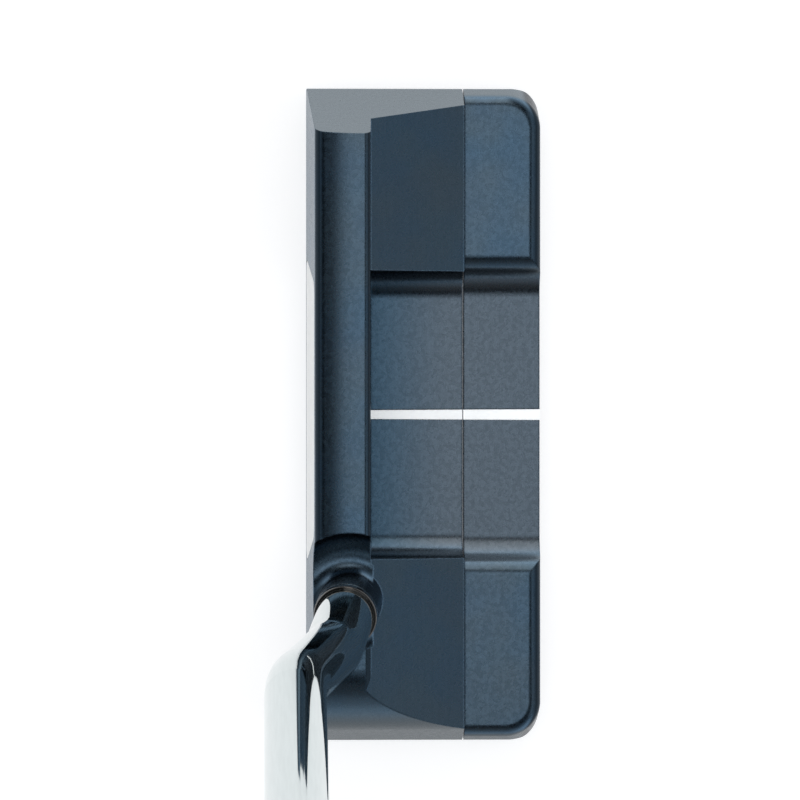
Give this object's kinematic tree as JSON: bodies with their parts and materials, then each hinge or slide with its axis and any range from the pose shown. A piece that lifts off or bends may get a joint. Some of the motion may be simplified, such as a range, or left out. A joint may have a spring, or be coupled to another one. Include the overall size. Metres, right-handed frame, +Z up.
{
  "type": "mallet putter",
  "caption": "Wide-blade mallet putter with a stepped two-tier navy head, white face insert and sight line, double-bend chrome shaft, wrapped grip and screw-in sole weights",
  "frame": {"origin": "on the ground at the centre of the sole's flat, under the sight line", "axes": "+Z up, +Y from the face to the back of the head, +X from toe to heel, the side where the golfer stands"},
  "size_m": [0.3893, 0.0552, 0.8363],
  "materials": {
    "navy_milled": "navy coating over milled stainless steel, satin with fine cutter lines",
    "navy_blasted": "navy coating over bead-blasted stainless steel, fine sparkle",
    "screw_steel": "dark oxide",
    "insert_white": "satin urethane",
    "backer_aluminium": "satin",
    "adhesive": "translucent cured adhesive",
    "line_paint": "white enamel paint fill",
    "weight_steel": "turned stainless steel",
    "seal_rubber": "matte",
    "ring_gloss": "polished black",
    "plug_plastic": "moulded",
    "shaft_chrome": "mirror chrome",
    "tape": "crepe paper",
    "foam": "fine closed-cell foam",
    "grip_skin": "embossed polyurethane",
    "thread": "waxed thread",
    "grip_rubber": "matte rubber"
  },
  "bodies": {
    "putter": {"head_body": "navy_milled", "rear_flange": "navy_blasted", "flange_screws": "screw_steel", "face_insert": "insert_white", "insert_backer": "backer_aluminium", "insert_adhesive": "adhesive", "sight_line_front": "line_paint", "sight_line_rear": "line_paint", "shaft_ring": "ring_gloss", "shaft_epoxy": "adhesive", "shaft_plug": "plug_plastic", "shaft": "shaft_chrome", "grip_tape": "tape", "grip_core": "foam", "grip_skin": "grip_skin", "grip_stitching": "thread", "grip_mouth_ring": "grip_rubber", "grip_cap": "grip_rubber"},
    "toe_seal": {"toe_weight_ring": "seal_rubber"},
    "toe_screw_weight": {"toe_weight": "weight_steel"},
    "heel_seal": {"heel_weight_ring": "seal_rubber"},
    "heel_screw_weight": {"heel_weight": "weight_steel"}
  },
  "joints": [
    {"name": "toe_weight_travel", "type": "slide", "parent": "putter", "child": "toe_seal", "axis": [0, 0, -1], "range_m": [0, 0.005]},
    {"name": "toe_weight_turn", "type": "hinge", "parent": "toe_seal", "child": "toe_screw_weight", "pos_m": [-0.04, -0.002, 0.0053], "axis": [0, 0, -1], "range_deg": [0, 1800]},
    {"name": "heel_weight_travel", "type": "slide", "parent": "putter", "child": "heel_seal", "axis": [0, 0, -1], "range_m": [0, 0.005]},
    {"name": "heel_weight_turn", "type": "hinge", "parent": "heel_seal", "child": "heel_screw_weight", "pos_m": [0.04, -0.002, 0.0053], "axis": [0, 0, -1], "range_deg": [0, 1800]}
  ],
  "couplings": [
    {"joint": "toe_weight_turn", "follows": "toe_weight_travel", "rad_per_m": 6283.2},
    {"joint": "heel_weight_turn", "follows": "heel_weight_travel", "rad_per_m": 6283.2}
  ]
}
